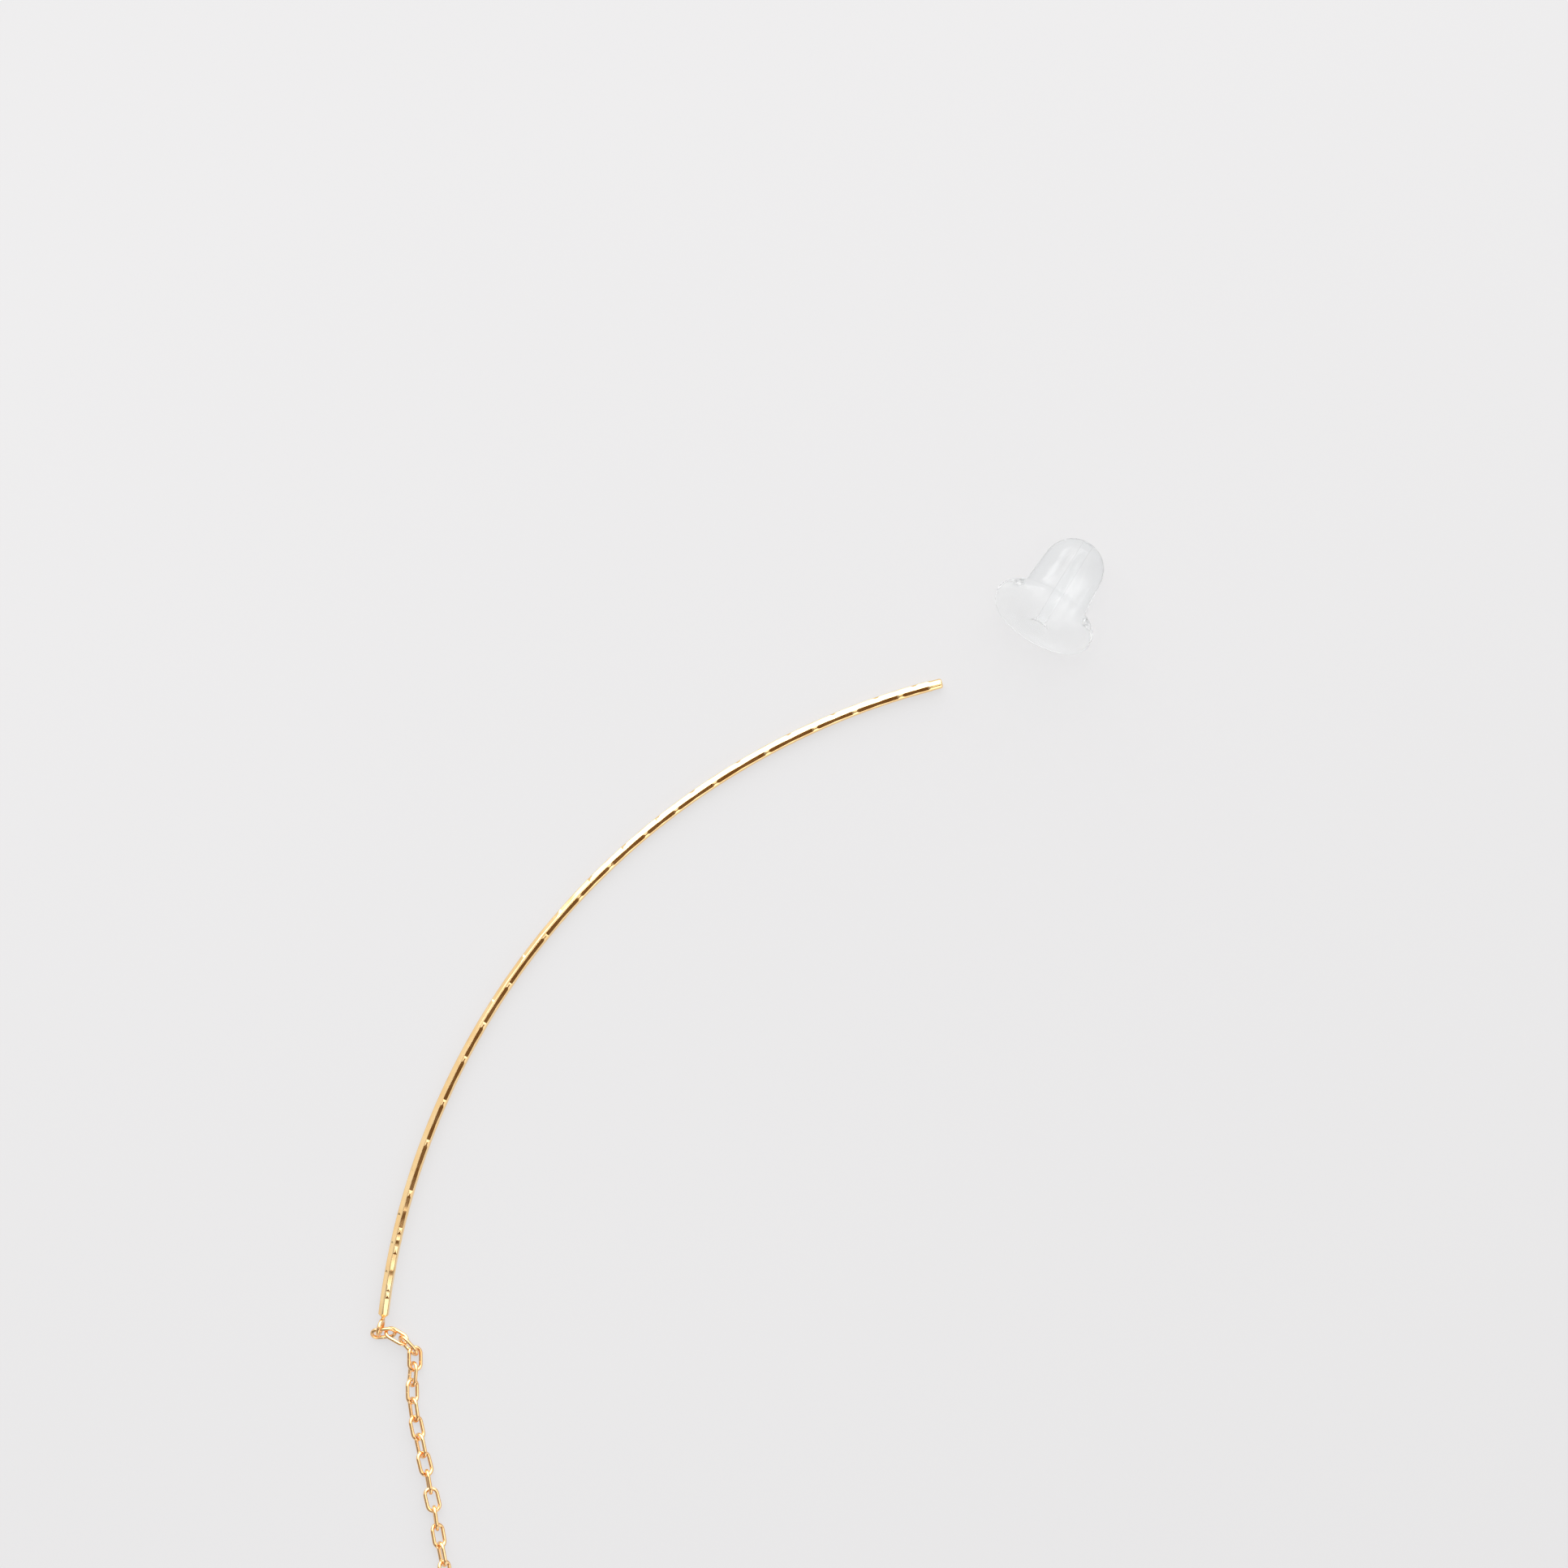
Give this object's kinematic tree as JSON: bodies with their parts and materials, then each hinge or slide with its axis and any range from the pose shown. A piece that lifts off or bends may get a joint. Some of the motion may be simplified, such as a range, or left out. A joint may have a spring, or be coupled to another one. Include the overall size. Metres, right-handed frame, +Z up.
{
  "type": "threader earring",
  "caption": "Threader earring lying flat: a curved faceted gold wire bar, a small soldered ring, a fine cable chain and a clear bell stopper.",
  "frame": {"origin": "middle of the laid-out earring seen from above, on the surface that it lies on", "axes": "+Z up from the surface, +Y from the chain's free end towards the stopper, +X to the right seen from above"},
  "size_m": [0.041, 0.0586, 0.0057],
  "materials": {
    "gold": "polished gold plate",
    "silicone": "clear soft silicone"
  },
  "bodies": {
    "root": {"bar": "gold", "link_01": "gold", "link_02": "gold", "link_03": "gold", "link_04": "gold", "link_05": "gold", "link_06": "gold", "link_07": "gold", "link_08": "gold", "link_09": "gold", "link_10": "gold", "link_11": "gold", "link_12": "gold", "link_13": "gold", "link_14": "gold", "link_15": "gold", "link_16": "gold", "stopper": "silicone"}
  },
  "joints": []
}
